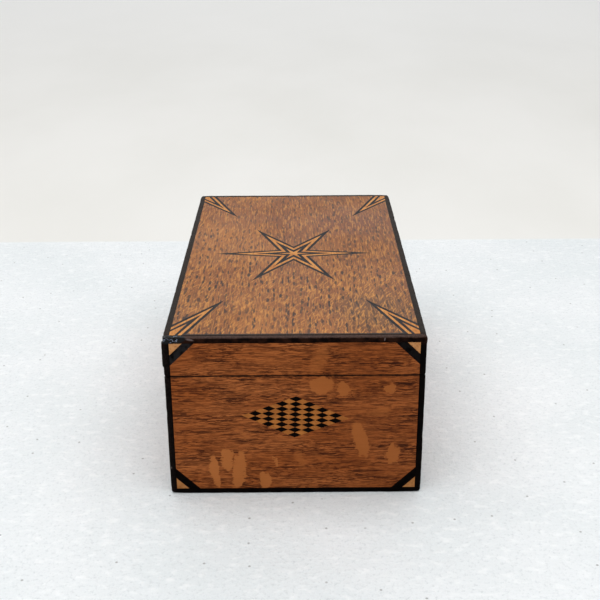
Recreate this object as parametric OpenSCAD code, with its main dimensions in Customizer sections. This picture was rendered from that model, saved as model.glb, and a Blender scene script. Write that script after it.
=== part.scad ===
// Inlaid oak box with a hinged lid, in millimetres, +Z up.
// The origin is the centre of the base. The near end is at -Y, the front with the lock at -X,
// and the hinges at +X.

/* [Box] */
// Width across the short ends
box_w = 152; // [146:1:165]
// Length of the long sides
box_l = 254; // [240:1:280]
// Overall height with the lid closed
box_h = 106; // [100:1:115]
// Height of the lid, from the seam to the top
lid_h = 25; // [24:0.5:30]
// Thickness of the side boards and lid rails
board_t = 8; // [8:0.1:9]
// Thickness of the lid panel
panel_t = 8; // [7:0.5:9]
// Thickness of the bottom board
bottom_t = 6; // [5:0.5:8]
// Depth of the rebate that holds the bottom board
bottom_rebate = 2; // [1:0.5:3]
// Gap between the body and the closed lid
seam_gap = 0.1; // [0.1:0.05:0.2]
// Depth of the bevel along the outer edges of the seam
seam_bevel = 0.4; // [0.3:0.05:0.6]
// Angle at which the bevelled back edges stop the lid
lid_open = 100; // [90:1:104]

/* [Edge banding] */
// Side of the square banding
band = 3.7; // [3:0.1:4]
// Worn rounding of the outer edges
arris_r = 0.9; // [0.4:0.1:1.2]
// How far the replaced corner strip stands proud
proud = 0.7; // [0.3:0.1:1]
// Height of the seam below the replaced strip's lower end
proud_end = 5.5; // [4:0.5:8]

/* [Lid inlay] */
// Depth of every inlay
inlay_t = 1.2; // [0.8:0.1:1.5]
// Radius of the star's points
star_r = 54.5; // [44:0.1:58]
// Radius of the star's inner corners
star_notch_r = 12.7; // [10:0.1:15]
// Star's offset across the lid
star_x = -0.8; // [-3:0.1:3]
// Star's offset along the lid
star_y = 0.8; // [-3:0.1:3]
// Reach of a corner spear across the lid
spear_x = 28.7; // [22:0.1:30]
// Reach of a corner spear along the lid
spear_y = 47.9; // [38:0.1:50]
// Foot of a corner spear on the long side
spear_side = 13.3; // [10:0.1:16]
// Foot of a corner spear on the short end
spear_end = 9.2; // [7:0.1:12]

/* [Side inlay] */
// Short sides of the light corner triangle
triangle_leg = 7.4; // [6:0.1:9]
// Short sides of the triangle and its black bar together
bar_leg = 14.2; // [12:0.1:16]
// Width of the chequered lozenge
lozenge_w = 63.2; // [54:0.1:70]
// Height of the chequered lozenge
lozenge_h = 28; // [22:0.1:32]
// Pieces along each edge of the lozenge
lozenge_n = 8; // [4:2:10]
// Height of the lozenge's centre
lozenge_z = 53.4; // [48:0.1:56]
// Clockwise tilt of the lozenge
lozenge_tilt = 2.2; // [0:0.1:4]

/* [Hinges] */
// Length of each hinge
hinge_len = 25.4; // [22:0.1:30]
// Distance of each hinge from the middle of the back
hinge_y = 78; // [60:1:90]
// Width of a leaf, from the pin's centre
leaf_w = 6.6; // [6:0.1:7]
// Thickness of a leaf
leaf_t = 1; // [0.9:0.1:1.2]
// Outer radius of the knuckle
barrel_r = 1.8; // [1.6:0.1:2]
// Radius of the pin
pin_r = 0.9; // [0.7:0.1:1]

/* [Lock] */
// Length of the lock's plates along the front
lock_len = 36; // [35:1:42]
// Height of the lock's back plate
lock_h = 23; // [22.5:0.5:26]
// Travel of the bolt
bolt_travel = 3.3; // [2.5:0.1:3.5]

/* [Hidden] */
$fn = 48;
hw = box_w / 2;
hl = box_l / 2;
seam_z = box_h - lid_h;
lid_z = seam_z + seam_gap;
in_x = hw - band;
in_y = hl - band;
over = 1;
fit = 0.05;
bevel_angle = lid_open / 2 + 1;
hinge_x = hw - seam_bevel;
hinge_z = seam_z + seam_gap / 2;
knuckles = 5;
knuckle_gap = 0.15;
knuckle_clear = 0.2;
body_bore_gap = 0.02;
lid_bore_gap = 0.05;
// Outer outline of each layer, as a share of the whole, from the outline to the core
star_layers = [1, 0.74, 0.485, 0.195];
spear_tips = [1, 0.785, 0.59, 0.31];
spear_feet = [1, 0.755, 0.53, 0.33];
glue_line = 0.985;
// Lock, measured from the outer face of the front board and the top of the body
lock_plate_t = 1.2;
selvedge_x = 1.6;
cap_x = 2.6;
cap_t = 0.6;
case_w = 26;
case_h = 19.5;
case_wall = 0.8;
// Keyhole: a round hole with a slot below it
key_z = -14.5;
key_hole_r = 1.6;
key_slot_w = 1.5;
key_slot_h = 3.2;
key_pin_r = 0.6;
escutcheon_w = 1;
// Hook on the link plate
hook_x = 4;
hook_t = 2;
hook_stem = 2.4;
hook_foot = 3;
hook_drop = 6;
hook_foot_t = 1.4;
// Bolt: a long bar low in the case, an arm at its back end and a finger on top of the arm
bolt_bar_z = -11.5;
bolt_bar_h = 3.5;
bolt_back_y = -11.5;
bolt_end_y = 8;
bolt_arm_w = 4.5;
bolt_top_z = -1.6;
finger_h = 2.7;
finger_gap = 0.6;
// Teeth below the bar, which the key turns against
tooth_y = [-3.2, 1.8];
tooth_w = 1.4;
tooth_h = 1.2;
tooth_root = 0.1;
stump_y = 4;
stump_r = 1;
// Screws: shank radius, head radius, head depth, slot width
screw_r = 0.8;
head_r = 1.6;
head_h = 0.9;
slot_w = 0.4;
hinge_screw_y = 8;
hinge_screw_x = -4;
screw_len = 6;
lock_screw_len = 5.5;
lock_screw_inset = 2.5;
lock_screw_z = [-4.5, -19.5];
link_screw_y = 13;
oak = "#8a5428";
top_oak = "#a4682f";
ebonised = "#1d1715";
light_wood = "#c98f45";
brass_colour = "#b08d4a";
steel_colour = "#8c8f93";

// ---- shapes that repeat ----

module rounded_rect(w, h, r) {
  square([w - 2 * r, h], center = true);
  square([w, h - 2 * r], center = true);
  for (x = [-1, 1], y = [-1, 1])
    translate([x * (w / 2 - r), y * (h / 2 - r)])
      circle(r);
}

// The closed box as one block with its twelve edges rounded
module worn_block() {
  intersection() {
    linear_extrude(box_h)
      rounded_rect(box_w, box_l, arris_r);
    translate([0, hl, box_h / 2])
      rotate([90, 0, 0])
        linear_extrude(box_l)
          rounded_rect(box_w, box_h, arris_r);
    translate([-hw, 0, box_h / 2])
      rotate([90, 0, 90])
        linear_extrude(box_w)
          rounded_rect(box_l, box_h, arris_r);
  }
}

// Lays a shape of the given depth into the near (-1) or far (1) end
module into_end(side, depth) {
  translate([0, side < 0 ? depth - hl : hl, 0])
    rotate([90, 0, 0])
      linear_extrude(depth)
        children();
}

// Lays a shape of the given depth into the front (-1) or back (1)
module into_side(side, depth) {
  translate([side < 0 ? -hw : hw - depth, 0, 0])
    rotate([90, 0, 90])
      linear_extrude(depth)
        children();
}

// Bevel that runs round all four sides of the seam; its halves meet when the lid is open
module seam_groove() {
  rise = (seam_bevel + over) * tan(bevel_angle);
  for (side = [-1, 1]) {
    translate([0, hl + over, 0])
      rotate([90, 0, 0])
        linear_extrude(box_l + 2 * over)
          polygon([
            [side * (hw - seam_bevel), seam_z], [side * (hw + over), seam_z - rise],
            [side * (hw + over), lid_z + rise], [side * (hw - seam_bevel), lid_z]
          ]);
    translate([-hw - over, 0, 0])
      rotate([90, 0, 90])
        linear_extrude(box_w + 2 * over)
          polygon([
            [side * (hl - seam_bevel), seam_z], [side * (hl + over), seam_z - rise],
            [side * (hl + over), lid_z + rise], [side * (hl - seam_bevel), lid_z]
          ]);
  }
}

// Space that the horizontal banding takes all round, from z0 up to z1
module band_space(z0, z1) {
  difference() {
    translate([-hw - over, -hl - over, z0])
      cube([box_w + 2 * over, box_l + 2 * over, z1 - z0]);
    translate([-in_x, -in_y, z0 - over])
      cube([2 * in_x, 2 * in_y, z1 - z0 + 2 * over]);
  }
}

// Plan of an end board, mitred behind the corner banding
module end_plan(side) {
  polygon([
    [-in_x, side * hl], [in_x, side * hl], [in_x, side * in_y],
    [hw - board_t, side * (hl - board_t)], [board_t - hw, side * (hl - board_t)],
    [-in_x, side * in_y]
  ]);
}

// Plan of a long board
module side_plan(side) {
  polygon([
    [side * hw, -in_y], [side * hw, in_y], [side * in_x, in_y],
    [side * (hw - board_t), hl - board_t], [side * (hw - board_t), board_t - hl],
    [side * in_x, -in_y]
  ]);
}

// One corner piece: the triangle runs from 0 to its leg, the bar from leg to leg
module corner_piece(u, z, up, inner, outer) {
  in = u > 0 ? -1 : 1;
  polygon([
    [u + in * inner, z], [u + in * outer, z],
    [u, z + up * outer], [u, z + up * inner]
  ]);
}

// The eight corner pieces of the body (up = 1) or of the lid (up = -1)
module corner_pieces(up, inner, outer) {
  z = up > 0 ? band : box_h - band;
  for (side = [-1, 1], corner = [-1, 1]) {
    into_end(side, inlay_t)
      corner_piece(corner * in_x, z, up, inner, outer);
    into_side(side, inlay_t)
      corner_piece(corner * in_y, z, up, inner, outer);
  }
}

module lozenge(w, h) {
  polygon([[-w / 2, 0], [0, -h / 2], [w / 2, 0], [0, h / 2]]);
}

module lozenge_place(side) {
  into_end(side, inlay_t)
    translate([0, lozenge_z])
      rotate(-lozenge_tilt)
        children();
}

// Alternate pieces of the lozenge: the rows of one parity are dark, the others light
module lozenge_pieces(side, parity) {
  cell_w = lozenge_w / lozenge_n;
  cell_h = lozenge_h / lozenge_n;
  lozenge_place(side)
    for (i = [0 : lozenge_n - 1], j = [0 : lozenge_n - 1])
      if ((i + j) % 2 == parity)
        translate([(i - j) * cell_w / 2, (i + j + 1 - lozenge_n) * cell_h / 2])
          lozenge(cell_w * glue_line, cell_h * glue_line);
}

module lozenge_dark(side) {
  color(ebonised)
    lozenge_pieces(side, 0);
}

module lozenge_light(side) {
  color(light_wood)
    lozenge_pieces(side, 1);
}

module star(layer) {
  tip_r = star_r * star_layers[layer];
  notch_r = star_notch_r * star_layers[layer];
  translate([star_x, star_y])
    polygon([
      for (i = [0 : 11])
        let (r = i % 2 == 0 ? tip_r : notch_r)
          [r * cos(30 * i), r * sin(30 * i)]
    ]);
}

module spear(sx, sy, tip, foot) {
  polygon([
    [sx * in_x, sy * in_y], [sx * in_x, sy * (in_y - spear_side * foot)],
    [sx * (in_x - spear_x * tip), sy * (in_y - spear_y * tip)],
    [sx * (in_x - spear_end * foot), sy * in_y]
  ]);
}

module spears(layer) {
  for (sx = [-1, 1], sy = [-1, 1])
    spear(sx, sy, spear_tips[layer], spear_feet[layer]);
}

// Lays a flat shape into the top of the lid
module into_lid(depth) {
  translate([0, 0, box_h - depth])
    linear_extrude(depth)
      children();
}

// Countersunk screw that points down from z = 0; grow widens it into its hole
module screw_shape(len, grow) {
  rotate_extrude()
    polygon([
      [0, 0], [head_r + grow, 0], [screw_r + grow, -head_h],
      [screw_r + grow, 1 - len], [0, -len - grow]
    ]);
}

module screw(len) {
  difference() {
    screw_shape(len, 0);
    translate([-head_r - over, -slot_w / 2, -slot_w])
      cube([2 * (head_r + over), slot_w, slot_w + over]);
  }
}

// ---- boards and rails ----

module body_wall() {
  difference() {
    linear_extrude(seam_z)
      children();
    band_space(-over, band);
    bottom_board_block(fit);
    corner_pieces(1, 0, bar_leg);
    seam_groove();
  }
}

module bottom_board_block(grow) {
  w = box_w - 2 * (board_t - bottom_rebate) + 2 * grow;
  l = box_l - 2 * (board_t - bottom_rebate) + 2 * grow;
  translate([-w / 2, -l / 2, 0])
    cube([w, l, bottom_t + grow]);
}

module end_board(side) {
  color(oak)
    difference() {
      body_wall()
        end_plan(side);
      lozenge_place(side)
        lozenge(lozenge_w, lozenge_h);
    }
}

module front_board() {
  color(oak)
    difference() {
      body_wall()
        side_plan(-1);
      lock_recess();
    }
}

module back_board() {
  color(oak)
    difference() {
      body_wall()
        side_plan(1);
      hinge_recesses();
    }
}

module bottom_board() {
  color(oak)
    bottom_board_block(0);
}

module rail_wall() {
  difference() {
    translate([0, 0, lid_z])
      linear_extrude(box_h - lid_z)
        children();
    band_space(box_h - band, box_h + over);
    translate([-in_x, -in_y, box_h - panel_t])
      cube([2 * in_x, 2 * in_y, panel_t + over]);
    corner_pieces(-1, 0, bar_leg);
    seam_groove();
  }
}

module lid_rail_end(side) {
  color(oak)
    rail_wall()
      end_plan(side);
}

module lid_rail_front() {
  color(oak)
    difference() {
      rail_wall()
        side_plan(-1);
      link_recess();
    }
}

module lid_rail_back() {
  color(oak)
    difference() {
      rail_wall()
        side_plan(1);
      hinge_recesses();
    }
}

module lid_panel() {
  color(top_oak)
    difference() {
      translate([-in_x, -in_y, box_h - panel_t])
        cube([2 * in_x, 2 * in_y, panel_t]);
      into_lid(inlay_t)
        star(0);
      into_lid(inlay_t)
        spears(0);
    }
}

// ---- edge banding ----

module end_band(side, z) {
  color(ebonised)
    intersection() {
      translate([0, 0, z])
        linear_extrude(band)
          polygon([
            [-hw, side * hl], [hw, side * hl], [in_x, side * in_y], [-in_x, side * in_y]
          ]);
      worn_block();
    }
}

module side_band(side, z) {
  color(ebonised)
    intersection() {
      translate([0, 0, z])
        linear_extrude(band)
          polygon([
            [side * hw, -hl], [side * hw, hl], [side * in_x, in_y], [side * in_x, -in_y]
          ]);
      worn_block();
    }
}

// Upright strip in the corner given by the signs sx and sy
module upright_band(sx, sy, z0, z1) {
  difference() {
    intersection() {
      translate([sx < 0 ? -hw : in_x, sy < 0 ? -hl : in_y, z0])
        cube([band, band, z1 - z0]);
      worn_block();
    }
    seam_groove();
  }
}

module body_corner_band(sx, sy) {
  color(ebonised)
    upright_band(sx, sy, band, seam_z);
}

module lid_corner_band(sx, sy) {
  color(ebonised)
    upright_band(sx, sy, lid_z, box_h - band);
}

// The replaced strip at the near front corner, proud of the front, with a slanted lower end
module lid_corner_band_replaced() {
  color(ebonised) {
    upright_band(-1, -1, lid_z, box_h - band);
    translate([0, -in_y, 0])
      rotate([90, 0, 0])
        linear_extrude(band - arris_r)
          polygon([
            [-hw, seam_z + proud_end], [-hw - proud, seam_z + proud_end + 2 * proud],
            [-hw - proud, box_h - band], [-hw, box_h - band]
          ]);
  }
}

// ---- inlay ----

module corner_bars(up) {
  color(ebonised)
    corner_pieces(up, triangle_leg, bar_leg);
}

module corner_triangles(up) {
  color(light_wood)
    corner_pieces(up, 0, triangle_leg);
}

module star_layer(layer, colour) {
  color(colour)
    into_lid(inlay_t)
      difference() {
        star(layer);
        if (layer < len(star_layers) - 1)
          star(layer + 1);
      }
}

module spear_layer(layer, colour) {
  color(colour)
    into_lid(inlay_t)
      difference() {
        spears(layer);
        if (layer < len(spear_tips) - 1)
          spears(layer + 1);
      }
}

// ---- hinges ----

// Places children at the pin's centre of the near (-1) or far (1) hinge
module at_hinge(side) {
  translate([hinge_x, side * hinge_y, hinge_z])
    children();
}

module along_y(len) {
  translate([0, len / 2, 0])
    rotate([90, 0, 0])
      linear_extrude(len)
        children();
}

module hinge_recesses() {
  depth = leaf_t + seam_gap / 2 + fit;
  for (side = [-1, 1])
    at_hinge(side) {
      along_y(hinge_len + 2 * knuckle_clear)
        circle(barrel_r + knuckle_clear);
      translate([-leaf_w - fit, -hinge_len / 2 - fit, -depth])
        cube([leaf_w + fit, hinge_len + 2 * fit, 2 * depth]);
      hinge_screw_places(-1)
        screw_shape(screw_len, fit);
      hinge_screw_places(1)
        screw_shape(screw_len, fit);
    }
}

// Screw places in one leaf: they point down in the body (-1) and up in the lid (1)
module hinge_screw_places(up) {
  for (y = [-hinge_screw_y, hinge_screw_y])
    translate([hinge_screw_x, y, up * seam_gap / 2])
      mirror([0, 0, up > 0 ? 1 : 0])
        children();
}

// Leaf with every second knuckle: three on the body (-1), two on the lid (1)
module hinge_leaf(side, up) {
  pitch = hinge_len / knuckles;
  face = seam_gap / 2;
  floor_z = up < 0 ? -face - leaf_t : face;
  color(brass_colour)
    at_hinge(side)
      difference() {
        union() {
          translate([-leaf_w, -hinge_len / 2, floor_z])
            cube([leaf_w - barrel_r - knuckle_clear, hinge_len, leaf_t]);
          for (k = [up < 0 ? 0 : 1 : 2 : knuckles - 1])
            translate([0, (k + 0.5) * pitch - hinge_len / 2, 0]) {
              along_y(pitch - knuckle_gap)
                circle(barrel_r);
              translate([-barrel_r - 2 * knuckle_clear, (knuckle_gap - pitch) / 2, floor_z])
                cube([barrel_r + 2 * knuckle_clear, pitch - knuckle_gap, leaf_t]);
            }
        }
        along_y(hinge_len + 2 * over)
          circle(pin_r + (up < 0 ? body_bore_gap : lid_bore_gap));
        hinge_screw_places(up)
          screw_shape(screw_len, fit);
      }
}

module hinge_pin(side) {
  color(steel_colour)
    at_hinge(side)
      along_y(hinge_len)
        circle(pin_r);
}

module hinge_screws(up) {
  color(brass_colour)
    for (side = [-1, 1])
      at_hinge(side)
        hinge_screw_places(up)
          screw(screw_len);
}

// ---- lock ----

// Origin on the front board's outer face at the top of the body, x inwards
module at_lock() {
  translate([-hw, 0, seam_z])
    children();
}

// Box between x0 and x1, centred along y, from z0 up to z1
module lock_block(x0, x1, w, z0, z1) {
  translate([x0, -w / 2, z0])
    cube([x1 - x0, w, z1 - z0]);
}

module keyhole(grow) {
  translate([0, key_z])
    circle(key_hole_r + grow);
  translate([-key_slot_w / 2 - grow, key_z - key_slot_h - grow])
    square([key_slot_w + 2 * grow, key_slot_h + grow]);
}

module through_front(depth) {
  rotate([90, 0, 90])
    linear_extrude(depth)
      children();
}

module lock_screw_places() {
  for (y = [-1, 1], z = lock_screw_z)
    translate([board_t, y * (lock_len / 2 - lock_screw_inset), z])
      rotate([0, 90, 0])
        children();
}

module lock_recess() {
  at_lock() {
    lock_block(selvedge_x - fit, board_t + over, lock_len + 2 * fit, -lock_plate_t - fit, over);
    lock_block(board_t - lock_plate_t - fit, board_t + over, lock_len + 2 * fit, -lock_h - fit, 0);
    lock_block(cap_x - fit, board_t, case_w + 2 * fit, -case_h - fit, 0);
    lock_screw_places()
      screw_shape(lock_screw_len, fit);
    translate([-over, 0, 0])
      through_front(cap_x + 2 * over)
        keyhole(0);
    translate([-over, 0, 0])
      through_front(inlay_t + over)
        keyhole(escutcheon_w + fit);
  }
}

// Plates and rim in one casting, with the stump that guides the bolt and the key's pin
module lock_case() {
  plate_x = board_t - lock_plate_t;
  color(brass_colour)
    at_lock() {
      difference() {
        union() {
          lock_block(selvedge_x, board_t, lock_len, -lock_plate_t, 0);
          lock_block(plate_x, board_t, lock_len, -lock_h, 0);
          lock_block(cap_x + cap_t, plate_x, case_w, -case_h, 0);
        }
        lock_block(cap_x, plate_x, case_w - 2 * case_wall, case_wall - case_h, -lock_plate_t);
        translate([hook_x - 2 * knuckle_clear, -hook_foot - 2 * knuckle_clear, -lock_plate_t - over])
          cube([hook_t + 3 * knuckle_clear, hook_foot + hook_stem + 4 * knuckle_clear, 3 * over]);
        lock_screw_places()
          screw_shape(lock_screw_len, fit);
      }
      translate([plate_x, stump_y, bolt_bar_z + bolt_bar_h / 2])
        rotate([0, -90, 0])
          cylinder(h = plate_x - cap_x - cap_t, r = stump_r);
      translate([plate_x, 0, key_z])
        rotate([0, -90, 0])
          cylinder(h = plate_x - cap_x - cap_t, r = key_pin_r);
    }
}

module lock_cap() {
  color(brass_colour)
    at_lock()
      difference() {
        lock_block(cap_x, cap_x + cap_t, case_w, -case_h, -lock_plate_t);
        translate([cap_x - over, 0, 0])
          through_front(cap_t + 2 * over)
            keyhole(0);
      }
}

// Flat outline of the bolt, drawn back
module bolt_outline() {
  translate([bolt_back_y, bolt_bar_z])
    square([bolt_arm_w, bolt_top_z - bolt_bar_z]);
  translate([bolt_back_y, bolt_top_z - finger_h])
    square([-hook_foot - finger_gap - bolt_back_y, finger_h]);
  translate([bolt_back_y, bolt_bar_z])
    square([bolt_end_y - bolt_back_y, bolt_bar_h]);
  for (y = tooth_y)
    translate([y, bolt_bar_z - tooth_h])
      square([tooth_w, tooth_h + tooth_root]);
}

// Its finger slides over the hook's foot when it is shot, and its slot runs along the stump
module lock_bolt() {
  slot_r = stump_r + fit;
  inner_face = cap_x + cap_t + knuckle_clear;
  color(steel_colour)
    at_lock()
      translate([inner_face, 0, 0])
        through_front(board_t - lock_plate_t - knuckle_clear - inner_face)
          difference() {
            bolt_outline();
            translate([stump_y - bolt_travel - slot_r, bolt_bar_z + bolt_bar_h / 2 - slot_r])
              square([bolt_travel + 2 * slot_r, 2 * slot_r]);
          }
}

module lock_screws() {
  color(brass_colour)
    at_lock()
      lock_screw_places()
        screw(lock_screw_len);
}

module keyhole_escutcheon() {
  color(brass_colour)
    at_lock()
      through_front(inlay_t)
        difference() {
          keyhole(escutcheon_w);
          keyhole(0);
        }
}

module link_screw_places() {
  for (y = [-link_screw_y, link_screw_y])
    translate([(selvedge_x + board_t) / 2, y, seam_gap])
      mirror([0, 0, 1])
        children();
}

module link_recess() {
  at_lock() {
    lock_block(selvedge_x - fit, board_t + over, lock_len + 2 * fit, 0, seam_gap + lock_plate_t + fit);
    link_screw_places()
      screw_shape(screw_len, fit);
  }
}

// Plate in the lid's edge with the hook that drops into the lock
module lock_link_plate() {
  color(brass_colour)
    at_lock()
      difference() {
        union() {
          lock_block(selvedge_x, board_t, lock_len, seam_gap, seam_gap + lock_plate_t);
          translate([hook_x, 0, -hook_drop])
            cube([hook_t, hook_stem, hook_drop + seam_gap + over]);
          translate([hook_x, -hook_foot, -hook_drop])
            cube([hook_t, hook_foot + hook_stem, hook_foot_t]);
        }
        link_screw_places()
          screw_shape(screw_len, fit);
      }
}

module link_plate_screws() {
  color(brass_colour)
    at_lock()
      link_screw_places()
        screw(screw_len);
}

// ---- the assembly ----

end_board(-1);  // near_end_board
end_board(1);  // far_end_board
front_board();
back_board();
bottom_board();
end_band(-1, 0);  // base_band_near
end_band(1, 0);  // base_band_far
side_band(-1, 0);  // base_band_front
side_band(1, 0);  // base_band_back
body_corner_band(-1, -1);  // body_corner_band_near_front
body_corner_band(1, -1);  // body_corner_band_near_back
body_corner_band(-1, 1);  // body_corner_band_far_front
body_corner_band(1, 1);  // body_corner_band_far_back
corner_bars(1);  // body_corner_bars
corner_triangles(1);  // body_corner_triangles
lozenge_dark(-1);  // near_lozenge_dark
lozenge_light(-1);  // near_lozenge_light
lozenge_dark(1);  // far_lozenge_dark
lozenge_light(1);  // far_lozenge_light
hinge_leaf(-1, -1);  // hinge_body_leaf_near
hinge_leaf(1, -1);  // hinge_body_leaf_far
hinge_pin(-1);  // hinge_pin_near
hinge_pin(1);  // hinge_pin_far
hinge_screws(-1);  // hinge_body_screws
lock_case();
lock_cap();
lock_bolt();
lock_screws();
keyhole_escutcheon();
lid_panel();
lid_rail_end(-1);  // lid_rail_near
lid_rail_end(1);  // lid_rail_far
lid_rail_front();
lid_rail_back();
end_band(-1, box_h - band);  // lid_top_band_near
end_band(1, box_h - band);  // lid_top_band_far
side_band(-1, box_h - band);  // lid_top_band_front
side_band(1, box_h - band);  // lid_top_band_back
lid_corner_band_replaced();  // lid_corner_band_near_front
lid_corner_band(1, -1);  // lid_corner_band_near_back
lid_corner_band(-1, 1);  // lid_corner_band_far_front
lid_corner_band(1, 1);  // lid_corner_band_far_back
corner_bars(-1);  // lid_corner_bars
corner_triangles(-1);  // lid_corner_triangles
star_layer(0, ebonised);  // star_outline
star_layer(1, light_wood);  // star_light
star_layer(2, ebonised);  // star_inner
star_layer(3, light_wood);  // star_core
spear_layer(0, ebonised);  // spear_outline
spear_layer(1, light_wood);  // spear_light
spear_layer(2, ebonised);  // spear_inner
spear_layer(3, light_wood);  // spear_core
hinge_leaf(-1, 1);  // hinge_lid_leaf_near
hinge_leaf(1, 1);  // hinge_lid_leaf_far
hinge_screws(1);  // hinge_lid_screws
lock_link_plate();
link_plate_screws();
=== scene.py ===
"""Inlaid oak box: materials, worn edge banding, floor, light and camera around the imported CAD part."""
import math

import bmesh
import bpy
from mathutils import Matrix, Vector, noise


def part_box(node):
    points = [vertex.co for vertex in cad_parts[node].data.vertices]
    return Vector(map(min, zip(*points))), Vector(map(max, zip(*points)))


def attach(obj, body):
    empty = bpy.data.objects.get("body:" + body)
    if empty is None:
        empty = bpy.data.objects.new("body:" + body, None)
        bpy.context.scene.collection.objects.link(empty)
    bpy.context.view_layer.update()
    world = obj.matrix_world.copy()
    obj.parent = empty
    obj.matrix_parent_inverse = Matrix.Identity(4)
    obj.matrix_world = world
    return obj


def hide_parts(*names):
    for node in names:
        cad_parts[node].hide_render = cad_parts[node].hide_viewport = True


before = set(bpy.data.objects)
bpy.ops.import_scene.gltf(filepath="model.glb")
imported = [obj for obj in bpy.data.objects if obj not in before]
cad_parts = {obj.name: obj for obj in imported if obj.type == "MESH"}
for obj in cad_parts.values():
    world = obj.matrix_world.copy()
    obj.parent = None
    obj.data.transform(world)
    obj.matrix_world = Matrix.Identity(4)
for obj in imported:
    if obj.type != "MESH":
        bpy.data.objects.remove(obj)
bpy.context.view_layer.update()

MM = 0.001

# ---- sizes read from the frame, in millimetres ----


def node_box(name):
    """Lowest and highest corner of a CAD node, in millimetres."""
    low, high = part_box(name)
    return low / MM, high / MM


PANEL_LOW, PANEL_HIGH = node_box("lid_panel")
BAND_LOW, BAND_HIGH = node_box("lid_top_band_near")
# Width of the banding, half sizes of the box inside and outside it, and its top
BAND = BAND_HIGH.z - BAND_LOW.z
IN_X = PANEL_HIGH.x
IN_Y = PANEL_HIGH.y
HALF_X = IN_X + BAND
HALF_Y = IN_Y + BAND
TOP = PANEL_HIGH.z
# Top of the body and underside of the lid, with the seam between them
SEAM = node_box("front_board")[1].z
LID_Z = node_box("lid_rail_near")[0].z
# Half sizes of the hollow inside
INSIDE_X = -node_box("front_board")[1].x
INSIDE_Y = -node_box("near_end_board")[1].y
# How far the replaced strip of banding stands out
PROUD = -HALF_X - node_box("lid_corner_band_near_front")[0].x
# Middle of the lumpy fill at the near left top corner
FILL_CENTRE = (-72.0, -HALF_Y, TOP)

# ---- colours ----


def srgb(red, green, blue):
    """A linear colour from 0 to 255 screen values."""
    def linear(value):
        value = value / 255
        if value <= 0.04045:
            return value / 12.92
        return ((value + 0.055) / 1.055) ** 2.4
    return (linear(red), linear(green), linear(blue), 1.0)


# ---- node trees ----


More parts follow.
